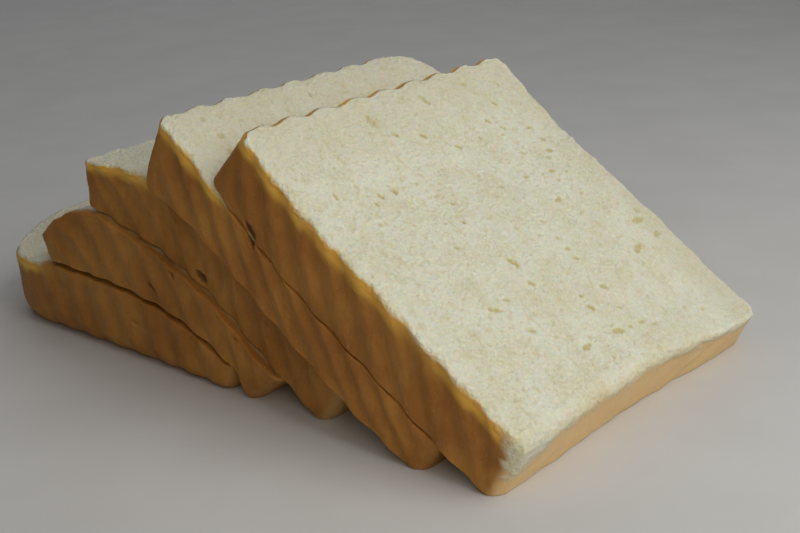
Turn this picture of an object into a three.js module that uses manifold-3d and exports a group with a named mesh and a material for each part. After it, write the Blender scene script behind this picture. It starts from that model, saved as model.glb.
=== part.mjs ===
// A soft white tin loaf, already cut: four thick slices and the heel, slumped back on each other.
// Millimetres, +Z up. X runs along the stack, from the heel towards the first slice, and Y runs
// across the loaf. The stack stands on the plane z = 0, with the origin at the centre of its
// footprint.
import * as THREE from 'three';
import { mergeVertices } from 'three/addons/utils/BufferGeometryUtils.js';
import Module from 'manifold-3d';

const wasm = await Module();
wasm.setup();

// The loaf, as the tin shaped it
const LOAF_WIDTH = 108; // between the two side crusts
const SLICE_HEIGHT = 106; // from the bottom crust to the top crust, measured along the slice
const STRETCHED_HEIGHT = 110; // of the thin second slice, which has been pulled a little longer
const HEEL_HEIGHT = 115; // the heel has spread a little as the slices pressed it flat
const CORNER_RADIUS = 4.5; // the rounding of the corners at a slice's foot
const RIB_PITCH = 12; // spacing of the ridges left in the crust by the tin's corrugated wall
const RIB_DEPTH = 0.6; // how far a ridge stands out from the middle line of the crust
const RIB_SLANT = 1.05; // how far most ridges drop along a slice for each step towards its back
const SQUASH = 1.2; // how much of a soft slice is pressed flat where it meets the board

// How finely the solids are divided
const EDGE_STEP = 3; // along a crust edge
const CORNER_STEPS = 5; // in each rounded corner
const MIDLINE_STEP = 1; // along the middle line of a bent slice
const BACK_STEPS = 4; // in the rounding of a slice's back edge

// Where each slice stands and how it sags. foot is the place of the middle of its foot along X,
// and shift is how far it has slid across the stack. lean lists the angle of the slice above the
// board, in degrees, at equal steps from foot to top, and thickness is listed in the same way.
// reach is how much further its top goes on, straight. ribStart moves its ridges along, so that
// they run on from slice to slice, and ribSlant is their slant.
// nearTop and farTop are the roundings of its top corners, where some slices droop. backTop is the
// rounding between its top crust and its back, and endRadius that all round the heel's end crust.
const SLICES = [
  {
    name: 'slice_1',
    height: SLICE_HEIGHT,
    reach: 1,
    foot: 1.9,
    shift: 0,
    ribStart: 0,
    ribSlant: RIB_SLANT,
    lean: [27.5, 36, 34, 34, 40.5, 44.5],
    thickness: [19.25, 20.25, 19.25],
    nearTop: 4,
    farTop: 4,
  },
  {
    name: 'slice_2',
    height: STRETCHED_HEIGHT,
    reach: 3,
    foot: -21.8,
    shift: 0,
    ribStart: 3.4,
    ribSlant: RIB_SLANT,
    lean: [29, 32.5, 35.5, 38.5, 39.5, 27],
    thickness: [10.75, 13.5, 13.25, 13.25, 15.75, 21.5],
    nearTop: 4,
    farTop: 18,
    backTop: 9,
  },
  {
    name: 'slice_3',
    height: SLICE_HEIGHT,
    reach: 3,
    foot: -57.1,
    shift: 6,
    ribStart: 6.6,
    ribSlant: RIB_SLANT,
    lean: [35, 36, 37, 26, 10.5, 3.5],
    thickness: [17.5, 18.25, 18, 20.25, 19.5, 14],
    nearTop: 3,
    farTop: 8,
    backTop: 4,
  },
  {
    name: 'slice_4',
    height: SLICE_HEIGHT,
    reach: 0,
    foot: -82.3,
    shift: 4,
    ribStart: 3.1,
    ribSlant: 0.8,
    lean: [54, 41, 30, 25.5, 18.5, 13, 12, 6.5, -11, -18, -20.5],
    thickness: [14.75, 9.75, 11.25, 13, 14.25, 16.25, 17.75, 20, 18.75, 12.75, 5.25],
    nearTop: 7,
    farTop: 9,
  },
  {
    name: 'heel',
    height: HEEL_HEIGHT,
    reach: 0,
    foot: -95.5,
    shift: 4,
    ribStart: 1,
    ribSlant: 0.35,
    lean: [17.5, 8.5, 2, 1, -1, -4],
    thickness: [8.75, 18.25, 22, 23, 23.25, 21.5],
    nearTop: 26,
    farTop: 22,
    endRadius: 8,
  },
];

const CRUST_COLOUR = 0xe3c48c;

// The value that a list of equally spaced stations has at a fraction from 0 to 1.
function atStation(stations, fraction) {
  const place = THREE.MathUtils.clamp(fraction, 0, 1) * (stations.length - 1);
  const index = Math.min(Math.floor(place), stations.length - 2);
  return THREE.MathUtils.lerp(stations[index], stations[index + 1], place - index);
}

// The middle line of a slice in its side view: a point and a direction at each small step.
function midline(slice) {
  const steps = Math.round(slice.height / MIDLINE_STEP);
  const point = new THREE.Vector2(slice.foot, 0);
  const line = [];
  for (let step = 0; step <= steps; step += 1) {
    const lean = THREE.MathUtils.degToRad(atStation(slice.lean, (step + 0.5) / steps));
    const direction = new THREE.Vector2(-Math.cos(lean), Math.sin(lean));
    line.push({ point: point.clone(), direction });
    point.addScaledVector(direction, MIDLINE_STEP);
  }
  return line;
}

// A point of a slice: across the loaf, along the slice from its foot, and a depth from 0 on the
// front cut to 1 on the back.
function placeInSlice(slice, line, across, along, depth) {
  const index = THREE.MathUtils.clamp(Math.floor(along / MIDLINE_STEP), 0, line.length - 1);
  const { point, direction } = line[index];
  const beyond = along - index * MIDLINE_STEP;
  const forward = atStation(slice.thickness, along / slice.height) * (0.5 - depth);
  return new THREE.Vector3(
    point.x + direction.x * beyond + direction.y * forward,
    slice.shift + across,
    point.y + direction.y * beyond - direction.x * forward,
  );
}

// A quarter circle of the outline, from the angle start, with its outward directions.
function corner(across, along, radius, start) {
  const points = [];
  for (let step = 0; step <= CORNER_STEPS; step += 1) {
    const angle = start + (step / CORNER_STEPS) * (Math.PI / 2);
    const out = new THREE.Vector2(Math.cos(angle), Math.sin(angle));
    const place = new THREE.Vector2(across, along).addScaledVector(out, radius);
    points.push({ place, out, ribbed: false });
  }
  return points;
}

// The points of a straight edge between two corners, without its ends.
function edge(from, to, out, steps) {
  const points = [];
  for (let step = 1; step < steps; step += 1) {
    const place = new THREE.Vector2().lerpVectors(from, to, step / steps);
    points.push({ place, out, ribbed: true });
  }
  return points;
}

// The outline of a slice, seen from the front: along the foot, up the far side, back along the
// top and down the near side. Every slice has the same number of points.
function sliceOutline(slice) {
  const side = LOAF_WIDTH / 2;
  const top = slice.height + slice.reach;
  const inner = side - CORNER_RADIUS;
  const farFoot = corner(inner, CORNER_RADIUS, CORNER_RADIUS, -Math.PI / 2);
  const farTop = corner(side - slice.farTop, top - slice.farTop, slice.farTop, 0);
  const nearTop = corner(slice.nearTop - side, top - slice.nearTop, slice.nearTop, Math.PI / 2);
  const nearFoot = corner(-inner, CORNER_RADIUS, CORNER_RADIUS, Math.PI);
  const footSteps = Math.round((LOAF_WIDTH - 2 * CORNER_RADIUS) / EDGE_STEP);
  const sideSteps = Math.round((SLICE_HEIGHT - 2 * CORNER_RADIUS) / EDGE_STEP);
  const join = (before, after, outAcross, outAlong, steps) =>
    edge(before.at(-1).place, after[0].place, new THREE.Vector2(outAcross, outAlong), steps);
  return {
    sideCount: sideSteps - 1 + 2 * (CORNER_STEPS + 1),
    footCount: footSteps - 1,
    points: [
      ...join(nearFoot, farFoot, 0, -1, footSteps),
      ...farFoot,
      ...join(farFoot, farTop, 1, 0, sideSteps),
      ...farTop,
      ...join(farTop, nearTop, 0, 1, footSteps),
      ...nearTop,
      ...join(nearTop, nearFoot, -1, 0, sideSteps),
      ...nearFoot,
    ],
  };
}

// How far the crust stands out at a place on the outline: in slanting ridges.
function ribHeight(slice, place, out, depth) {
  const alongEdge = out.x === 0 ? place.x : place.y;
  const phase = (alongEdge + slice.ribStart + slice.ribSlant * depth) / RIB_PITCH;
  return RIB_DEPTH * Math.cos(2 * Math.PI * phase);
}

// How far the rounding of a back edge draws the outline in, where the outline faces out.
function backInset(slice, out, depth, thickness) {
  const radius = slice.endRadius ?? (slice.backTop ?? 0) * Math.max(0, out.y);
  const into = THREE.MathUtils.clamp(depth - (thickness - radius), 0, radius);
  return radius - Math.sqrt(radius ** 2 - into ** 2);
}

// The depths of the rings of points, in millimetres from the front cut.
function ringDepths(slice, thickness) {
  const radius = slice.endRadius ?? slice.backTop;
  if (!radius) {
    return [0, thickness / 2, thickness];
  }
  const depths = [0];
  for (let step = 0; step <= BACK_STEPS; step += 1) {
    const angle = (step / BACK_STEPS) * (Math.PI / 2);
    depths.push(thickness - radius * (1 - Math.sin(angle)));
  }
  return depths;
}

// Triangles for a cut face. A slice bends only along its height, so the face is a ladder between
// its two sides. Its foot and its top are fans, because the ridges make their edges wavy.
function faceTriangles(outline) {
  const { footCount, sideCount } = outline;
  const count = outline.points.length;
  const rung = CORNER_STEPS - 1; // the first and the last rung stay inside the corners
  const far = (row) => footCount + row;
  const near = (row) => count - 1 - row;
  const triangles = [];
  for (let row = rung; row < sideCount - 1 - rung; row += 1) {
    triangles.push([near(row), far(row), far(row + 1)]);
    triangles.push([near(row), far(row + 1), near(row + 1)]);
  }
  triangles.push(...fan(near(rung) - count, far(rung), count));
  triangles.push(...fan(far(sideCount - 1 - rung), near(sideCount - 1 - rung), count));
  return triangles;
}

// Triangles that close a stretch of the outline, from both of its ends to its middle.
function fan(first, last, count) {
  const middle = Math.floor((first + last) / 2);
  const triangles = [[first, middle, last]];
  for (let index = first + 1; index < middle; index += 1) {
    triangles.push([first, index, index + 1]);
  }
  for (let index = middle; index < last - 1; index += 1) {
    triangles.push([last, index, index + 1]);
  }
  return triangles.map((triangle) => triangle.map((index) => (index + count) % count));
}

// The whole slice as a closed solid, before it is pressed flat on the board.
function sliceSolid(slice) {
  const line = midline(slice);
  const outline = sliceOutline(slice);
  const count = outline.points.length;
  const thickness = Math.max(...slice.thickness);
  const depths = ringDepths(slice, thickness);
  const positions = [];
  for (const depth of depths) {
    for (const { place, out, ribbed } of outline.points) {
      const rib = ribbed ? ribHeight(slice, place, out, depth) : 0;
      const inset = backInset(slice, out, depth, thickness);
      const { x, y } = place.clone().addScaledVector(out, rib - inset);
      positions.push(...placeInSlice(slice, line, x, y, depth / thickness));
    }
  }
  const triangles = faceTriangles(outline);
  const back = (depths.length - 1) * count;
  triangles.push(...triangles.map(([a, b, c]) => [back + a, back + c, back + b]));
  for (let start = 0; start < back; start += count) {
    for (let index = 0; index < count; index += 1) {
      const here = start + index;
      const next = start + ((index + 1) % count);
      triangles.push([here, here + count, next], [next, here + count, next + count]);
    }
  }
  return new wasm.Manifold(
    new wasm.Mesh({
      numProp: 3,
      vertProperties: new Float32Array(positions),
      triVerts: new Uint32Array(triangles.flat()),
    }),
  );
}

// A block that reaches down from a height and takes away all that would be under the board.
function blockBelow(height) {
  const size = 600;
  const box = new THREE.BoxGeometry(size, size, size);
  box.deleteAttribute('normal');
  box.deleteAttribute('uv');
  const block = mergeVertices(box).translate(0, 0, height - size / 2);
  return new wasm.Manifold(
    new wasm.Mesh({
      numProp: 3,
      vertProperties: new Float32Array(block.getAttribute('position').array),
      triVerts: new Uint32Array(block.getIndex().array),
    }),
  );
}

// A slice set down on the board, with the part that is pressed flat there cut away.
function settledGeometry(slice) {
  const whole = sliceSolid(slice);
  const floor = whole.boundingBox().min[2] + SQUASH;
  const mesh = whole.subtract(blockBelow(floor)).getMesh();
  const geometry = new THREE.BufferGeometry();
  geometry.setAttribute('position', new THREE.Float32BufferAttribute(mesh.vertProperties, 3));
  geometry.setIndex(Array.from(mesh.triVerts));
  geometry.translate(0, 0, -floor);
  geometry.computeVertexNormals();
  return geometry;
}

const loaf = new THREE.Group();
for (const slice of SLICES) {
  const crust = new THREE.MeshStandardMaterial({
    color: CRUST_COLOUR,
    roughness: 0.9,
    metalness: 0,
  });
  const mesh = new THREE.Mesh(settledGeometry(slice), crust);
  mesh.name = slice.name;
  loaf.add(mesh);
}

// The origin goes to the centre of the footprint.
const footprint = new THREE.Box3().setFromObject(loaf).getCenter(new THREE.Vector3());
loaf.position.set(-footprint.x, -footprint.y, 0);

export default loaf;
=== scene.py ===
"""Looks for a soft white tin loaf: four thick slices that have slumped back onto the heel.

Each slice is a fine closed mesh with open crumb on its cuts and a ridged, thin crust around it.
Lengths are in millimetres until a mesh is made, and in metres from there on.
"""

import math

import bpy
import numpy as np
from mathutils import Matrix, Vector


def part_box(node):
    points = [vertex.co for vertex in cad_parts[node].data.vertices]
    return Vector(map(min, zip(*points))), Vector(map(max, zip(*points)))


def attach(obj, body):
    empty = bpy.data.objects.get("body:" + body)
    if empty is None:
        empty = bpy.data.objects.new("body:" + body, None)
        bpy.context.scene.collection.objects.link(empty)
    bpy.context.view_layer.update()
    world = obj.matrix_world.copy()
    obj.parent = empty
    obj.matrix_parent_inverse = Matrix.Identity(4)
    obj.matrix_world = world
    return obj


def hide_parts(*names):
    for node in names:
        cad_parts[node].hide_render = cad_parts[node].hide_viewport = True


MM = 0.001

# The loaf, as the tin shaped it
LOAF_WIDTH = 108  # between the two side crusts
SLICE_HEIGHT = 106  # from the bottom crust to the top crust, measured along the slice
STRETCHED_HEIGHT = 110  # of the thin second slice, which has been pulled a little longer
HEEL_HEIGHT = 115  # of the heel, which has spread as the slices pressed it flat
CORNER_RADIUS = 4.5  # the rounding of the corners at a slice's foot
RIB_PITCH = 12  # the spacing of the ridges left by the tin's corrugated wall
RIB_DEPTH = 0.6  # how far a ridge stands out from the middle line of the crust
RIB_SLANT = 1.05  # how far most ridges drop along a slice for each step towards its back
NEAR_RIBS = 0.65  # the share of that depth that is left on the near side crust
FAR_RIBS = 0.35  # on the far side crust
FOOT_RIBS = 0.25  # and on the bottom crust
FOOT_SPREAD = 5  # how far the first slice's far foot corner has spread under its weight
FOOT_SINK = 6  # how far its cut has sunk there
FOOT_FORWARD = 4  # and how far the corner has moved forward
SPREAD_HEIGHT = 45  # how far up the slice that reaches
SHOWING = 12  # how gradually a covered cut comes clear
SQUASH = 1.2  # how much of a soft slice is pressed flat where it meets the floor
CUT_RADIUS = 0.5  # the soft rounding where a cut meets the crust
OPEN_CUT_RADIUS = 1.3  # that of a cut that nothing presses on
FOOT_ROUNDING = 3  # how much rounder the first slice's cut is along its near foot
PRESSED = 0.12  # how far the crumb stands out where a neighbour presses on a cut
HEEL_CROWN = 6  # how far the heel's crumb rises where no slice presses on it
TORN_CORNER = 9  # how far up the crust has torn off at the first slice's near foot corner
TORN_STRETCH = 4  # how many times further the tear reaches along the foot
TORN_GRAIN = 0.3  # how rough the crumb is where its crust has torn off
END_CRUST = 0.3  # how far the heel's end crust is pressed in
TOP_FADE = 0.5  # how far below an open cut the top crust has its full colour
CRUST_FADE = 3  # the side crust
FOOT_FADE = 8  # and the bottom crust

# How finely the meshes are divided
CRUMB_CELL = 0.75  # the side of a cut face's squares
FIRST_CUT_CELL = 0.58  # the first slice's, whose cut face shows whole
CRUST_ROW = 0.75  # between two rows of the crust's points
ROUNDING_ROWS = 4  # how many rows are in the rounding beside a cut
MIDLINE_STEP = 0.25  # between two points of a slice's middle line
MIDLINE_SPARE = 6  # how far that line goes on beyond the slice's ends

# Each slice, from the foot up:
# - foot is the place of the middle of its foot along X, and shift is how far it has slid sideways
# - lean lists its angle above the floor, in degrees, at equal steps from foot to top, and
#   thickness is listed in the same way
# - reach is how much further its top goes on, straight
# - rib_start moves its ridges, so that they run on from slice to slice
# - rib_slant is the slant of its ridges
# - near_top and far_top round its top corners, back_top rounds the edge between its top crust and
#   its back, and end_radius rounds the heel's end crust all round
# - smeared is how far the near side's crust colour goes on over a covered cut
# - shows is where along the slice its front cut comes clear of the slice before
# - pale_and_lit_foot is how much paler its bottom crust is than the rest, partly its own paler colour
#   and partly painted light: most on the first slice, whose foot the window lights
# - cell is the side of its face's squares
SLICES = [
    {
        "name": "slice_1",
        "height": SLICE_HEIGHT,
        "reach": 1,
        "foot": 1.9,
        "shift": 0,
        "rib_start": 0,
        "rib_slant": RIB_SLANT,
        "lean": [27.5, 36, 34, 34, 40.5, 44.5],
        "thickness": [19.25, 20.25, 19.25],
        "near_top": 4,
        "far_top": 4,
        "smeared": 3,
        "shows": 0,
        "pale_and_lit_foot": 1,
        "cell": FIRST_CUT_CELL,
    },
    {
        "name": "slice_2",
        "height": STRETCHED_HEIGHT,
        "reach": 3,
        "foot": -21.8,
        "shift": 0,
        "rib_start": 3.4,
        "rib_slant": RIB_SLANT,
        "lean": [29, 32.5, 35.5, 38.5, 39.5, 27],
        "thickness": [10.75, 13.5, 13.25, 13.25, 15.75, 21.5],
        "near_top": 4,
        "far_top": 18,
        "back_top": 9,
        "smeared": 4,
        "shows": 90,
        "pale_and_lit_foot": 0.1,
        "cell": CRUMB_CELL,
    },
    {
        "name": "slice_3",
        "height": SLICE_HEIGHT,
        "reach": 3,
        "foot": -57.1,
        "shift": 6,
        "rib_start": 6.6,
        "rib_slant": RIB_SLANT,
        "lean": [35, 36, 37, 26, 10.5, 3.5],
        "thickness": [17.5, 18.25, 18, 20.25, 19.5, 14],
        "near_top": 3,
        "far_top": 8,
        "back_top": 4,
        "smeared": 4,
        "shows": 86,
        "pale_and_lit_foot": 0.5,
        "cell": CRUMB_CELL,
    },
    {
        "name": "slice_4",
        "height": SLICE_HEIGHT,
        "reach": 0,
        "foot": -82.3,
        "shift": 4,
        "rib_start": 3.1,
        "rib_slant": 0.8,
        "lean": [54, 41, 30, 25.5, 18.5, 13, 12, 6.5, -11, -18, -20.5],
        "thickness": [14.75, 9.75, 11.25, 13, 14.25, 16.25, 17.75, 20, 18.75, 12.75, 5.25],
        "near_top": 7,
        "far_top": 9,
        "smeared": 6,
        "pale_and_lit_foot": 0.15,
        "cell": CRUMB_CELL,
    },
    {
        "name": "heel",
        "height": HEEL_HEIGHT,
        "reach": 0,
        "foot": -95.5,
        "shift": 4,
        "rib_start": 1,
        "rib_slant": 0.35,
        "lean": [17.5, 8.5, 2, 1, -1, -4],
        "thickness": [8.75, 18.25, 22, 23, 23.25, 21.5],
        "near_top": 26,
        "far_top": 22,
        "end_radius": 8,
        "smeared": 9,
        "shows": 90,
        "pale_and_lit_foot": 0.15,
        "cell": CRUMB_CELL,
    },
]

# Small holes and dents in the near side crust: how far along the slice and how far below its
# front cut they are, half their length and width, how they are turned, and how deep they go.
CRUST_DENTS = {
    "slice_1": [(89, 19.0, 3.2, 1.6, 25, 2.4)],
    "slice_2": [(72, 0.9, 3.0, 1.5, 50, 2.4), (60, 1.0, 5.0, 0.6, 8, 0.7)],
    "slice_3": [(55, 17.6, 3.0, 1.2, 15, 2.0), (64, 5.0, 3.5, 0.6, 20, 0.6)],
    "slice_4": [(42, 2.6, 2.0, 0.7, 70, 1.1), (50, 14.2, 2.6, 0.9, 15, 1.6), (16, 3, 1.2, 0.9, 0, 1)],
    "heel": [(40, 9.0, 2.5, 0.7, 20, 0.6), (72, 6.0, 3.0, 0.7, 10, 0.5)],
}

# The pores of a cut face, the largest first: how many, half their length and width, how deep.
PORES = [
    (60, 1.5, 0.65, 1.3),
    (330, 0.8, 0.45, 0.55),
    (1300, 0.5, 0.36, 0.3),
]
PORE_MARGIN = 8  # how much narrower and lower than the face the part with pores is

# Colours of the crumb
IVORY = (0.73, 0.70, 0.49)
PALE_CRUMB = (0.79, 0.79, 0.63)
WHITE_SPECK = (0.85, 0.84, 0.70)
# Painted shade: yellower blotches at random places, standing in for shallow hollows of the crumb
PAINTED_HOLLOW_SHADE = (0.68, 0.60, 0.34)
# Painted shade in the pores, stronger the deeper the pore
PAINTED_PORE_SHADE = (0.62, 0.52, 0.20)
CLOSE_CRUMB = (0.66, 0.61, 0.43)

# Colours of the crust
TAN_CRUST = (0.40, 0.17, 0.030)
GOLDEN_CRUST = (0.50, 0.24, 0.048)
BROWN_STREAK = (0.26, 0.10, 0.018)
PALE_FRECKLE = (0.62, 0.36, 0.10)
# Painted shade: the darkness inside the crust's holes and dents
PAINTED_HOLE_SHADE = (0.10, 0.04, 0.012)
# The bottom crust's colour: partly its own paler colour and partly painted light where the window
# lights a foot
PALE_AND_LIT_BOTTOM_CRUST = (0.80, 0.55, 0.27)
# Painted light: a golden glow on the crust beside an open cut, standing in for light that shines
# through the thin crust
PAINTED_EDGE_GLOW = (0.90, 0.54, 0.09)

# The studio, in metres and degrees
FLOOR_SIZE = 6
FLOOR_TONE = (0.60, 0.59, 0.57)
FLOOR_PALE = (0.63, 0.62, 0.60)
SKY_COLOUR = (0.82, 0.85, 0.9, 1)
SKY_STRENGTH = 0.08
CAMERA_PLACE = (0.2549, -0.2626, 0.1514)
CAMERA_TURN = 41.2  # to the left of straight along +Y
CAMERA_PITCH = 20  # down
CAMERA_ROLL = 3  # clockwise, as it looks
CAMERA_SENSOR = 36  # millimetres
CAMERA_LENS = 57.7  # millimetres


def smooth(low, high, value):
    """0 below low, 1 above high, and a smooth rise between them."""
    t = np.clip((value - low) / (high - low), 0, 1)
    return t * t * (3 - 2 * t)


def soft_noise(points, cell, seed):
    """Smooth noise from about -1 to 1 at points in millimetres, its features one cell wide."""
    rng = np.random.default_rng(seed)
    size = 64
    table = rng.uniform(-1, 1, (size, size, size))
    spot = points / np.asarray(cell, float) + rng.uniform(0, size, 3)
    base = np.floor(spot).astype(int)
    part = spot - base
    part = part * part * (3 - 2 * part)
    total = np.zeros(points.shape[:-1])
    for step in np.ndindex(2, 2, 2):
        share = np.prod(np.where(step, part, 1 - part), axis=-1)
        at = (base + step) % size
        total += share * table[at[..., 0], at[..., 1], at[..., 2]]
    return total


class Midline:
    """The middle line of a slice in its side view, by the distance along the slice."""

    def __init__(self, cut):
        start, end = -MIDLINE_SPARE, cut["height"] + MIDLINE_SPARE
        self.along = np.arange(start, end + MIDLINE_STEP, MIDLINE_STEP)
        stations = np.linspace(0, cut["height"], len(cut["lean"]))
        lean = np.radians(np.interp(self.along + MIDLINE_STEP / 2, stations, cut["lean"]))
        self.x = self.summed(-np.cos(lean)) + cut["foot"]
        self.z = self.summed(np.sin(lean))
        self.lean = lean

    def summed(self, slope):
        total = np.concatenate([[0], np.cumsum(slope[:-1])]) * MIDLINE_STEP
        return total - np.interp(0, self.along, total)

    def at(self, along):
        """x, z and the lean in radians."""
        return tuple(np.interp(along, self.along, v) for v in (self.x, self.z, self.lean))


def thickness_at(cut, along):
    """How thick a slice is, by the distance along it."""
    stations = np.linspace(0, cut["height"], len(cut["thickness"]))
    return np.interp(along, stations, cut["thickness"])


def far_foot(across, along):
    """1 in the first slice's far foot corner, which has sunk most, and 0 well away from it."""
    return smooth(0, LOAF_WIDTH / 2, across) * (1 - smooth(0, SPREAD_HEIGHT, along))


def place(cut, across, along, share):
    """Points of a slice from where they are across it and along it. share is how far through
    its thickness they are, from 0 at the front cut to 1 at the back."""
    x, z, lean = Midline(cut).at(along)
    forward = thickness_at(cut, along) * (0.5 - share)
    if cut is SLICES[0]:
        spread = far_foot(across, along)
        forward = forward - FOOT_SINK * spread * (1 - share)
        x = x + FOOT_FORWARD * spread
    return np.stack(
        [x + np.sin(lean) * forward, across + cut["shift"], z + np.cos(lean) * forward], -1
    )


def half_size(cut):
    """Half the width of a slice and half its height."""
    return np.array([LOAF_WIDTH, cut["height"] + cut["reach"]]) / 2


def corner_radius(cut, u, v):
    """The rounding of the corner that is nearest to points (u, v) of a square from -1 to 1."""
    top = np.where(u > 0, cut["far_top"], cut["near_top"])
    return np.where(v > 0, top, CORNER_RADIUS)


def facing_down(out):
    """1 on the bottom crust, 0 on the sides and the top, and between in the foot's corners."""
    return np.clip(-out[..., 1], 0, 1)


def rib_share(out):
    """How much of the ridges' depth is left: they are pressed flat at the foot, and faint on
    the far side."""
    share = np.where(out[..., 0] > 0.5, FAR_RIBS, 1)
    share = np.where(out[..., 0] < -0.5, NEAR_RIBS, share)
    return np.where(out[..., 1] < -0.5, FOOT_RIBS, share)


def outline(cut, u, v, depth):
    """The crust line at points (u, v) on the edge of a square from -1 to 1, at a depth in
    millimetres: its place across and along the slice, and the outward direction there."""
    half = half_size(cut)
    square = np.stack([u * half[0], v * half[1]], -1)
    radius = corner_radius(cut, u, v)
    on_side = np.abs(u) >= np.abs(v)
    left = np.where(on_side, half[1] - np.abs(square[..., 1]), half[0] - np.abs(square[..., 0]))
    turn = np.clip(1 - left / radius, 0, 1) * math.pi / 4
    tilt = np.where(on_side, turn, math.pi / 2 - turn)
    out = np.stack([np.cos(tilt) * np.sign(u), np.sin(tilt) * np.sign(v)], -1)
    middle = np.sign(square) * (half - radius[..., None])
    rounded = middle + out * radius[..., None]
    point = np.where((turn > 0)[..., None], rounded, square)
    edge = np.where(on_side, point[..., 1] + half[1], point[..., 0])
    phase = (edge + cut["rib_start"] + cut["rib_slant"] * depth) / RIB_PITCH
    rib = RIB_DEPTH * rib_share(out) * np.cos(2 * math.pi * phase) * smooth(0, 4, left - radius)
    point = point + out * rib[..., None] + [0, half[1]]
    if cut is SLICES[0]:
        point[..., 0] += FOOT_SPREAD * far_foot(point[..., 0], point[..., 1])
    return point, out


def back_radius(cut, out):
    """The rounding at the back, where the outline faces out: wider on some slices' tops."""
    top = np.clip(out[..., 1], 0, 1) * cut.get("back_top", 0)
    return np.maximum(cut.get("end_radius", CUT_RADIUS), top)


def open_share(cut, along):
    """1 where the front cut shows, and 0 where the slice before covers it."""
    if "shows" not in cut:
        return np.zeros_like(along)
    return smooth(-SHOWING, 0, along - cut["shows"])


def front_radius(cut, at, out):
    """The rounding between the front cut and the crust, at points across and along."""
    radius = CUT_RADIUS + (OPEN_CUT_RADIUS - CUT_RADIUS) * open_share(cut, at[..., 1])
    if cut is SLICES[0]:
        near = 1 - smooth(0, LOAF_WIDTH / 2, at[..., 0])
        radius = radius + FOOT_ROUNDING * near * facing_down(out)
    return radius


def inset(cut, at, out, depth, thickness):
    """How far the roundings at the cuts and at the back draw the outline in."""
    radius = front_radius(cut, at, out)
    front = np.clip(radius - depth, 0, None)
    drawn = radius - np.sqrt(radius**2 - front**2)
    radius = back_radius(cut, out)
    back = np.clip(depth - (thickness - radius), 0, radius)
    return drawn + radius - np.sqrt(radius**2 - back**2)


def row_depths(cut, thickness):
    """The depths of the crust's rows of points, close together in the roundings."""
    turns = np.linspace(0, math.pi / 2, ROUNDING_ROWS + 1)
    front = OPEN_CUT_RADIUS * (1 - np.cos(turns))
    radius = max(CUT_RADIUS, cut.get("back_top", 0), cut.get("end_radius", 0))
    rows = max(ROUNDING_ROWS, round(radius / CRUST_ROW) + 2)
    back = thickness - radius * (1 - np.cos(np.linspace(math.pi / 2, 0, rows + 1)))
    count = round((back[0] - front[-1]) / CRUST_ROW)
    return np.concatenate([front[:-1], np.linspace(front[-1], back[0], count + 1), back[1:]])


def near_squares(middle, reach, height, count):
    """The part of a cut face's grid that is within reach of a point of the face."""
    size = np.array([LOAF_WIDTH, height])
    low = np.floor((middle - reach) / size * count + count / 2)
    high = np.ceil((middle + reach) / size * count + count / 2)
    low = np.clip(low, 0, count).astype(int)
    high = np.clip(high, 0, count).astype(int)
    return slice(low[0], high[0] + 1), slice(low[1], high[1] + 1)


def pore_angle(middle, height):
    """The way the pores lie round a point: they follow the swirl of the risen dough."""
    return math.radians(-35 - 60 * (middle[1] / height - middle[0] / LOAF_WIDTH))


def crumb_relief(across, along, height, seed):
    """The depth of the pores of a cut face, in millimetres."""
    rng = np.random.default_rng(seed)
    count = across.shape[0] - 1
    points = np.stack([across, along, np.zeros_like(across)], -1)
    ragged = soft_noise(points, 0.9, seed + 1)
    depth = np.zeros_like(across)
    for number, length, width, deep in PORES:
        for _ in range(number):
            middle = rng.uniform(-0.5, 0.5, 2) * [LOAF_WIDTH - PORE_MARGIN, height - PORE_MARGIN]
            angle = pore_angle(middle, height) + rng.normal(0, 0.35)
            grown = rng.lognormal(0, 0.28)
            window = near_squares(middle, 1.6 * length * grown, height, count)
            right = across[window] - middle[0]
            up = along[window] - height / 2 - middle[1]
            major = (right * math.cos(angle) + up * math.sin(angle)) / (length * grown)
            minor = (up * math.cos(angle) - right * math.sin(angle)) / (width * grown)
            inside = 1 - major**2 - minor**2 + 0.55 * ragged[window]
            bowl = deep * rng.uniform(0.6, 1.2) * np.clip(inside, 0, None)
            depth[window] = np.maximum(depth[window], bowl)
    return depth


def cut_grid(cut, count, depth):
    """The points of a cut face, as a grid: where they are across and along the slice, and how
    near the face's edge, from 0 in the middle to 1."""
    steps = np.linspace(-1, 1, count + 1)
    u, v = np.meshgrid(steps, steps, indexing="ij")
    ring = np.maximum(np.maximum(np.abs(u), np.abs(v)), 1e-6)
    edge, out = outline(cut, u / ring, v / ring, depth)
    edge = edge - out * inset(cut, edge, out, depth, max(cut["thickness"]))[..., None]
    half = half_size(cut)
    square = np.stack([u, v], -1) * half
    pull = edge - [0, half[1]] - np.stack([u, v], -1) / ring[..., None] * half
    point = square + pull * (ring**5)[..., None] + [0, half[1]]
    return point[..., 0], point[..., 1], ring


def crumb_stands(across, along, ring, seed):
    """How far a cut's crumb stands out: uneven all over, torn near the foot, frayed at the edge,
    and most of all in tufts at the far foot."""
    flat = np.stack([across, along, np.full_like(across, seed)], -1)
    uneven = 0.22 * soft_noise(flat, 15, seed + 2) + 0.13 * soft_noise(flat, 3.2, seed + 3)
    grain = 0.16 * soft_noise(flat, 1.3, seed + 4)
    torn = 0.22 * soft_noise(flat, (1.0, 3.6, 1), seed + 5) * (1 - smooth(8, 34, along))
    tufts = smooth(0.35, 0.5, across / LOAF_WIDTH) * (1 - smooth(10, 30, along))
    frayed = 0.3 * soft_noise(flat, 1.6, seed + 6)
    frayed += 2.2 * tufts * np.clip(soft_noise(flat, 1.3, seed + 7) - 0.45, 0, None)
    fuzz = frayed * smooth(0.93, 0.99, ring)
    return (uneven + grain + torn) * (1 - 0.6 * smooth(0.97, 1, ring)) + fuzz


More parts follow.
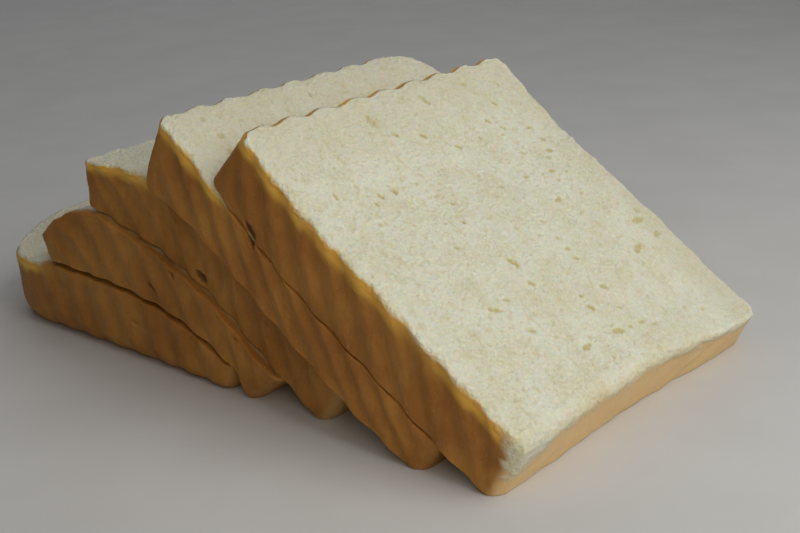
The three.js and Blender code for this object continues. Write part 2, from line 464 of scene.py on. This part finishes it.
def cut_crumb(cut, count, depth, seed):
    """A cut face as a grid: its place across and along, how deep its pores are, and how far it
    stands out from the cut."""
    across, along, ring = cut_grid(cut, count, depth)
    pores = crumb_relief(across, along, 2 * half_size(cut)[1], seed)
    pores = pores * (1 - smooth(0.9, 0.99, ring))
    return across, along, pores, crumb_stands(across, along, ring, seed) - 0.6 * pores


def ring_order(count):
    """The grid places round the edge of a face, counter-clockwise seen from the front."""
    run = range(count)
    return np.array(
        [(i, 0) for i in run]
        + [(count, j) for j in run]
        + [(count - i, count) for i in run]
        + [(0, count - j) for j in run]
    )


def crust_relief(cut, solid, seed):
    """How far the crust stands out at points across, along and below a slice's front cut."""
    wrinkled = solid.copy()
    wrinkled[..., 1] += cut["rib_slant"] * solid[..., 2]
    wrinkles = 0.1 * soft_noise(wrinkled, (2.2, 2.2, 9), 71 + seed)
    swells = 0.3 * soft_noise(solid, 11, 72 + seed)
    pimples = 0.05 * soft_noise(solid, 1.4, 73 + seed)
    return wrinkles + swells + pimples


def dents(cut, solid, out):
    """How deep the dents in the near side crust are, at points of one row of the crust."""
    total = np.zeros(len(solid))
    for along, below, length, width, turn, deep in CRUST_DENTS[cut["name"]]:
        angle = math.radians(turn)
        up, back = solid[:, 1] - along, solid[:, 2] - below
        major = (up * math.cos(angle) - back * math.sin(angle)) / length
        minor = (up * math.sin(angle) + back * math.cos(angle)) / width
        bowl = deep * np.clip(1 - major**2 - minor**2, 0, None)
        total = np.maximum(total, np.where(out[:, 0] < -0.5, bowl, 0))
    return total


def density(cut, across, along):
    """Where the crumb is close and a little darker: towards the top and the far side."""
    top = smooth(0.76, 1, along / (2 * half_size(cut)[1]))
    far = smooth(0.36, 0.5, across / LOAF_WIDTH)
    return 0.5 * np.maximum(top, far)


def crown(cut, across, along):
    """How far the heel's crumb springs up beyond the slice that lies on it."""
    free = smooth(0.75, 0.92, along / cut["height"])
    share = across / LOAF_WIDTH
    return HEEL_CROWN * free * smooth(-0.5, -0.15, share) * (1 - smooth(0.3, 0.5, share))


def cut_face(cut, number, crumb, side):
    """The points of a cut face and what the material reads there. side is 1 at the front cut
    and -1 at the back."""
    across, along, pores, stands = crumb
    heel_end = side < 0 and "end_radius" in cut
    if heel_end:
        flat = np.stack([across, along, np.zeros_like(across)], -1)
        stands = crust_relief(cut, flat, number) - END_CRUST
        pores = np.zeros_like(pores)
    elif side < 0 or number > 1:
        stands = np.minimum(stands, PRESSED)
    if side > 0 and "end_radius" in cut:
        stands = stands + crown(cut, across, along)
    share = (1 - side) / 2 - side * stands / thickness_at(cut, along)
    crust = 1 - smooth(0, cut["smeared"], across + LOAF_WIDTH / 2)
    if side > 0:
        crust = crust * (1 - open_share(cut, along))
    if heel_end:
        crust = np.ones_like(across)
    reads = {
        "crust": crust.ravel(),
        "pore": pores.ravel(),
        "painted_glow": np.zeros(across.size),
        "close_crumb_and_lit_foot": density(cut, across, along).ravel(),
    }
    return place(cut, across, along, share).reshape(-1, 3), reads


def torn_share(cut, solid, ragged):
    """0 where the crust has torn off round the first slice's near foot corner, and 1 elsewhere."""
    if cut is not SLICES[0]:
        return np.ones(len(solid))
    corner = np.hypot((solid[:, 0] + LOAF_WIDTH / 2) / TORN_STRETCH, solid[:, 1])
    return smooth(TORN_CORNER - 6, TORN_CORNER, corner + 0.4 * solid[:, 2] + 3 * ragged)


def crust_reads(cut, number, solid, out):
    """What the material reads at points of the crust: where it is crust and not crumb, its holes,
    which the material paints dark as shade, a painted glow beside an open cut that stands in for
    light shining through the thin crust, and how pale it is underneath, partly its own colour and
    partly painted light."""
    depth, under = solid[:, 2], facing_down(out)
    opened = open_share(cut, solid[:, 1])
    ragged = 0.5 * soft_noise(solid, (2.5, 2.5, 1), 80 + number)
    whole = torn_share(cut, solid, ragged)
    fade = np.where(out[:, 1] > 0.5, TOP_FADE, CRUST_FADE + (FOOT_FADE - CRUST_FADE) * under)
    crust = smooth(0.1 * fade, fade, depth + 0.5 * fade * ragged)
    crust = (1 - opened * (1 - crust)) * whole
    patchy = smooth(-0.5, 0.3, soft_noise(solid, 14, 90))
    # A painted glow: a golden band just below an open cut, standing in for light that shines through
    # the thin crust, weak underneath
    painted_glow_band = smooth(0.1, 1.4, depth + ragged) * (1 - smooth(2, 5.5, depth + 2 * ragged))
    painted_glow_band = painted_glow_band * (1 - 0.85 * under) * opened
    return {
        "crust": crust,
        "pore": dents(cut, solid, out),
        "painted_glow": painted_glow_band * (0.35 + 0.65 * patchy) * whole,
        # The paler bottom crust: partly its own colour and partly painted light, strongest on the
        # first slice, whose foot the window lights, and faint on the shaded feet behind
        "close_crumb_and_lit_foot": smooth(0.2, 0.8, under) * cut["pale_and_lit_foot"] * smooth(0, 0.4, crust),
    }


def crust_row(cut, number, square_edge, depth, edge_stands):
    """The points of the crust's row at a depth in millimetres, and what the material reads there.
    edge_stands is how far the front cut stands out beside each point."""
    thickness = max(cut["thickness"])
    at, out = outline(cut, *square_edge, depth)
    solid = np.concatenate([at, np.full((len(at), 1), depth)], -1)
    reads = crust_reads(cut, number, solid, out)
    under = facing_down(out)
    relief = crust_relief(cut, solid, number) * smooth(0, 2.5, min(depth, thickness - depth))
    grain = TORN_GRAIN * soft_noise(solid, 1.3, 60 + number) * under * (1 - reads["crust"])
    drawn = inset(cut, at, out, depth, thickness)
    rough_depth = 1.5 + 4 * under * open_share(cut, at[:, 1])
    at = at - out * (drawn - relief - grain + reads["pore"])[..., None]
    lift = edge_stands * (1 - smooth(0, rough_depth, depth))
    share = depth / thickness - lift / thickness_at(cut, at[:, 1])
    return place(cut, at[:, 0], at[:, 1], share), reads


def slice_mesh(cut, number):
    """The fine surface of a slice, with the attributes that its material reads."""
    thickness = max(cut["thickness"])
    count = round(LOAF_WIDTH / cut["cell"])
    order = ring_order(count)
    depths = row_depths(cut, thickness)[1:-1]
    front = cut_crumb(cut, count, 0, 100 * number)
    back = cut_crumb(cut, count, thickness, 100 * number + 50)
    parts = [cut_face(cut, number, front, 1), cut_face(cut, number, back, -1)]
    square_edge = np.linspace(-1, 1, count + 1)[order.T]
    edge_stands = front[3][tuple(order.T)]
    for depth in depths:
        parts.append(crust_row(cut, number, square_edge, depth, edge_stands))
    verts = np.concatenate([points for points, reads in parts])
    attributes = {
        key: np.concatenate([reads[key] for points, reads in parts])
        for key in ("crust", "pore", "painted_glow", "close_crumb_and_lit_foot")
    }
    return verts, slice_faces(count, order, len(depths)), attributes


def settle(verts):
    """Sets a slice down on the floor and presses its foot flat."""
    low = verts[:, 2].min() + SQUASH
    verts[:, 2] = np.maximum(verts[:, 2] - low, 0)
    return verts


def slice_faces(count, order, rows):
    """Quads of the two cut faces and of the crust between them."""
    side = count + 1
    grid = np.arange(side * side).reshape(side, side)
    a, b = grid[:-1, :-1].ravel(), grid[1:, :-1].ravel()
    c, d = grid[1:, 1:].ravel(), grid[:-1, 1:].ravel()
    front = np.stack([a, b, c, d], -1)
    back = np.stack([a, d, c, b], -1) + side * side
    edge = grid[tuple(order.T)]
    middle = np.arange(rows * len(edge)).reshape(rows, -1) + 2 * side * side
    rings = np.concatenate([edge[None], middle, edge[None] + side * side])
    here, below = rings[:-1], rings[1:]
    walls = np.stack(
        [here, below, np.roll(below, -1, 1), np.roll(here, -1, 1)], -1
    ).reshape(-1, 4)
    return np.concatenate([front, back, walls])


def make_object(name, verts, faces, attributes, material):
    """A smooth object in the scene, from vertices in millimetres."""
    mesh = bpy.data.meshes.new(name)
    mesh.from_pydata(verts * MM, [], faces)
    for key, values in attributes.items():
        layer = mesh.attributes.new(key, "FLOAT", "POINT")
        layer.data.foreach_set("value", np.asarray(values, np.float32))
    mesh.polygons.foreach_set("use_smooth", np.ones(len(mesh.polygons), bool))
    mesh.materials.append(material)
    mesh.update()
    made = bpy.data.objects.new(name, mesh)
    bpy.context.scene.collection.objects.link(made)
    return made


class Shader:
    """A material's node tree, with short names for the nodes that the loaf uses."""

    def __init__(self, name):
        self.material = bpy.data.materials.new(name)
        self.material.use_nodes = True
        self.tree = self.material.node_tree
        self.tree.nodes.clear()
        self.output = self.node("ShaderNodeOutputMaterial")
        self.bsdf = self.node("ShaderNodeBsdfPrincipled")
        self.link(self.bsdf.outputs["BSDF"], self.output.inputs["Surface"])
        self.coordinates = self.node("ShaderNodeTexCoord").outputs["Object"]

    def node(self, kind, **settings):
        made = self.tree.nodes.new(kind)
        for key, value in settings.items():
            setattr(made, key, value)
        return made

    def link(self, source, target):
        self.tree.links.new(source, target)

    def attribute(self, name):
        """The value that the mesh has for that name."""
        return self.node("ShaderNodeAttribute", attribute_name=name).outputs["Fac"]

    def noise(self, feature, detail=3.0, roughness=0.55, stretch=None):
        """Noise whose features are about that many millimetres wide."""
        made = self.node("ShaderNodeTexNoise")
        made.inputs["Scale"].default_value = 1 / (feature * MM)
        made.inputs["Detail"].default_value = detail
        made.inputs["Roughness"].default_value = roughness
        source = self.coordinates
        if stretch:
            mapping = self.node("ShaderNodeMapping")
            mapping.inputs["Scale"].default_value = stretch
            self.link(source, mapping.inputs["Vector"])
            source = mapping.outputs["Vector"]
        self.link(source, made.inputs["Vector"])
        return made.outputs["Fac"]

    def cells(self, feature):
        """Small bubbles about that many millimetres wide: 0 in their middles."""
        made = self.node("ShaderNodeTexVoronoi", feature="SMOOTH_F1")
        made.inputs["Scale"].default_value = 1 / (feature * MM)
        made.inputs["Smoothness"].default_value = 0.6
        self.link(self.coordinates, made.inputs["Vector"])
        return made.outputs["Distance"]

    def ramp(self, factor, low, high, start=0.0, end=1.0):
        """start below low, end above high and a smooth change between them."""
        made = self.node("ShaderNodeMapRange", interpolation_type="SMOOTHSTEP")
        made.inputs["From Min"].default_value = low
        made.inputs["From Max"].default_value = high
        made.inputs["To Min"].default_value = start
        made.inputs["To Max"].default_value = end
        self.link(factor, made.inputs["Value"])
        return made.outputs["Result"]

    def math(self, operation, first, second):
        """A sum or product of two numbers, each given or another node's output."""
        made = self.node("ShaderNodeMath", operation=operation)
        for socket, value in zip(made.inputs, (first, second)):
            if isinstance(value, (int, float)):
                socket.default_value = value
            else:
                self.link(value, socket)
        return made.outputs["Value"]

    def mix(self, factor, first, second):
        """A colour between two others, each a colour or another node's output."""
        made = self.node("ShaderNodeMix", data_type="RGBA")
        self.link(factor, made.inputs["Factor"])
        for socket, value in ((made.inputs[6], first), (made.inputs[7], second)):
            if isinstance(value, tuple):
                socket.default_value = (*value, 1)
            else:
                self.link(value, socket)
        return made.outputs[2]

    def blend(self, factor, first, second):
        """A number between two others, each given or another node's output."""
        made = self.node("ShaderNodeMix", data_type="FLOAT")
        self.link(factor, made.inputs["Factor"])
        for socket, value in ((made.inputs[2], first), (made.inputs[3], second)):
            if isinstance(value, (int, float)):
                socket.default_value = value
            else:
                self.link(value, socket)
        return made.outputs[0]

    def bump(self, height, distance, strength):
        """A normal that makes the surface look that many millimetres rough."""
        made = self.node("ShaderNodeBump")
        made.inputs["Distance"].default_value = distance * MM
        made.inputs["Strength"].default_value = strength
        self.link(height, made.inputs["Height"])
        return made.outputs["Normal"]


def crumb_colour(shader):
    """Ivory crumb, whiter in patches, with painted shade: yellower blotches at random, and yellower
    pores that are darkest where deepest.
    """
    body = shader.mix(shader.ramp(shader.noise(11), 0.35, 0.65), IVORY, PALE_CRUMB)
    speck = shader.ramp(shader.noise(1.0, 4, 0.65), 0.4, 0.68, 0, 0.7)
    body = shader.mix(speck, body, WHITE_SPECK)
    # Painted shade of shallow hollows, as yellower blotches at random
    hollow_shade = shader.ramp(shader.noise(2.2, 2, 0.4), 0.52, 0.75, 0, 0.5)
    body = shader.mix(hollow_shade, body, PAINTED_HOLLOW_SHADE)
    # Painted shade in the pores, by their depth
    deep = shader.ramp(shader.attribute("pore"), 0.0, 0.9, 0, 0.8)
    body = shader.mix(deep, body, PAINTED_PORE_SHADE)
    return shader.mix(shader.attribute("close_crumb_and_lit_foot"), body, CLOSE_CRUMB)


def crust_colour(shader):
    """Thin soft crust: golden, browner in patches and streaks, lightly freckled, with painted shade
    in its holes and dents, and a paler bottom that is partly its own colour and partly painted light.
    """
    body = shader.mix(shader.ramp(shader.noise(16, 4), 0.35, 0.65), TAN_CRUST, GOLDEN_CRUST)
    streaks = shader.ramp(shader.noise(3, 4, 0.6, stretch=(1, 1, 0.4)), 0.4, 0.7, 0, 0.35)
    body = shader.mix(streaks, body, BROWN_STREAK)
    freckles = shader.ramp(shader.noise(0.9, 2, 0.5), 0.62, 0.75, 0, 0.35)
    body = shader.mix(freckles, body, PALE_FRECKLE)
    # Painted shade in the crust's holes and dents, darker where they go deeper
    hole = shader.ramp(shader.attribute("pore"), 0.1, 1.0, 0, 0.8)
    body = shader.mix(hole, body, PAINTED_HOLE_SHADE)
    # A paler bottom crust, partly its own colour and partly painted light; on the cut faces the same
    # attribute gives the closer crumb
    return shader.mix(shader.attribute("close_crumb_and_lit_foot"), body, PALE_AND_LIT_BOTTOM_CRUST)


def bread_material(name):
    """Crumb and crust in one material, told apart by the attributes of the mesh."""
    shader = Shader(name)
    crust = shader.ramp(shader.attribute("crust"), 0.15, 0.85)
    colour = shader.mix(crust, crumb_colour(shader), crust_colour(shader))
    # Painted light: the golden glow where light would shine through the crust beside an open cut
    colour = shader.mix(shader.attribute("painted_glow"), colour, PAINTED_EDGE_GLOW)
    shader.link(colour, shader.bsdf.inputs["Base Color"])
    crust_rough = shader.ramp(shader.noise(5), 0.3, 0.7, 0.52, 0.68)
    crumb_rough = shader.ramp(shader.noise(2), 0.3, 0.7, 0.85, 0.97)
    roughness = shader.blend(crust, crumb_rough, crust_rough)
    shader.link(roughness, shader.bsdf.inputs["Roughness"])
    fine = shader.math("MULTIPLY", shader.noise(0.6, 5), 0.9)
    bubbles = shader.math("ADD", shader.cells(1.1), fine)
    skin = shader.math("ADD", shader.noise(1.6, 5), shader.noise(0.5, 3))
    height = shader.blend(crust, bubbles, shader.math("MULTIPLY", skin, 0.35))
    shader.link(shader.bump(height, 0.6, 0.95), shader.bsdf.inputs["Normal"])
    shader.bsdf.inputs["Subsurface Weight"].default_value = 0.5
    shader.bsdf.inputs["Subsurface Radius"].default_value = (1.0, 0.55, 0.22)
    shader.bsdf.inputs["Subsurface Scale"].default_value = 3.5 * MM
    shader.bsdf.inputs["Specular IOR Level"].default_value = 0.3
    return shader.material


def build_slice(cut, number, offset, material):
    """Makes a slice's visible piece, which takes the place of its solid in the frame."""
    verts, faces, attributes = slice_mesh(cut, number)
    verts = settle(verts) + offset
    made = make_object(cut["name"] + "_bread", verts, faces, attributes, material)
    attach(made, "root")
    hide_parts(cut["name"])


def stack_offset():
    """From the slices' own places to the frame's, whose origin is the middle of the footprint."""
    low, high = (np.array(corner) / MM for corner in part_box("slice_1"))
    near = np.linspace(-1, 0, 100)
    foot, out = outline(SLICES[0], near, -np.ones_like(near), 0)
    reach = place(SLICES[0], foot[:, 0], foot[:, 1], 0)[:, 0].max()
    return np.array([high[0] - reach, (low[1] + high[1]) / 2, 0])


def add_floor():
    """A plain pale floor."""
    bpy.ops.mesh.primitive_plane_add(size=FLOOR_SIZE)
    floor = bpy.context.object
    floor.name = "floor"
    shader = Shader("pale_floor")
    tone = shader.ramp(shader.noise(40), 0.3, 0.7)
    colour = shader.mix(tone, FLOOR_TONE, FLOOR_PALE)
    shader.link(colour, shader.bsdf.inputs["Base Color"])
    shader.bsdf.inputs["Roughness"].default_value = 0.8
    floor.data.materials.append(shader.material)


def add_lamp(name, azimuth, elevation, distance, size, power, colour):
    """A square soft light that looks at the loaf. Azimuth 0 is in front, and 90 at +X."""
    turn, rise = math.radians(azimuth), math.radians(elevation)
    toward = Vector(
        (math.sin(turn) * math.cos(rise), -math.cos(turn) * math.cos(rise), math.sin(rise))
    )
    lamp = bpy.data.objects.new(name, bpy.data.lights.new(name, "AREA"))
    lamp.data.size = size
    lamp.data.energy = power
    lamp.data.color = colour
    lamp.location = toward * distance
    lamp.rotation_mode = "QUATERNION"
    lamp.rotation_quaternion = toward.to_track_quat("Z", "Y")
    bpy.context.scene.collection.objects.link(lamp)


def add_lights():
    """A window at the right, light from above, a warm fill for the side crusts, and one behind."""
    add_lamp(
        "window", azimuth=98, elevation=40, distance=0.66, size=0.5, power=2.15, colour=(0.99, 1, 1)
    )
    add_lamp(
        "sky", azimuth=60, elevation=75, distance=1.3, size=1.2, power=2.4, colour=(0.98, 0.99, 1)
    )
    add_lamp(
        "fill", azimuth=50, elevation=26, distance=0.48, size=0.22, power=0.3, colour=(1, 0.86, 0.68)
    )
    add_lamp(
        "back", azimuth=228, elevation=42, distance=1.2, size=0.9, power=1.6, colour=(0.96, 0.98, 1)
    )
    world = bpy.data.worlds.new("studio")
    world.use_nodes = True
    sky = world.node_tree.nodes["Background"]
    sky.inputs["Color"].default_value = SKY_COLOUR
    sky.inputs["Strength"].default_value = SKY_STRENGTH
    bpy.context.scene.world = world


def add_camera():
    """A short telephoto look at the first slice's cut, from the right and a little above."""
    turn, pitch, roll = (math.radians(v) for v in (CAMERA_TURN, CAMERA_PITCH, CAMERA_ROLL))
    look = Vector(
        (-math.sin(turn) * math.cos(pitch), math.cos(turn) * math.cos(pitch), -math.sin(pitch))
    )
    level = Vector((math.cos(turn), math.sin(turn), 0))
    down = look.cross(level)
    right = level * math.cos(roll) + down * math.sin(roll)
    up = right.cross(look)
    camera = bpy.data.objects.new("camera", bpy.data.cameras.new("camera"))
    camera.data.sensor_width = CAMERA_SENSOR
    camera.data.lens = CAMERA_LENS
    facing = Matrix((right, up, -look)).transposed().to_4x4()
    camera.matrix_world = Matrix.Translation(CAMERA_PLACE) @ facing
    bpy.context.scene.collection.objects.link(camera)
    bpy.context.scene.camera = camera


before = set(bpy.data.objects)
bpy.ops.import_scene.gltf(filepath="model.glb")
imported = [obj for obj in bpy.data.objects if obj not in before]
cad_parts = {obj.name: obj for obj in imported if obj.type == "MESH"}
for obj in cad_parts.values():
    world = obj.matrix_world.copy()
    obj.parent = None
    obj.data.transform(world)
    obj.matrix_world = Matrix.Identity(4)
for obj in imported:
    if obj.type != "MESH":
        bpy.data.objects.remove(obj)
bpy.context.scene.view_settings.view_transform = "Standard"
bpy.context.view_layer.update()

bread = bread_material("bread")
offset = stack_offset()
for number, cut in enumerate(SLICES, start=1):
    build_slice(cut, number, offset, bread)

add_floor()
add_lights()
add_camera()
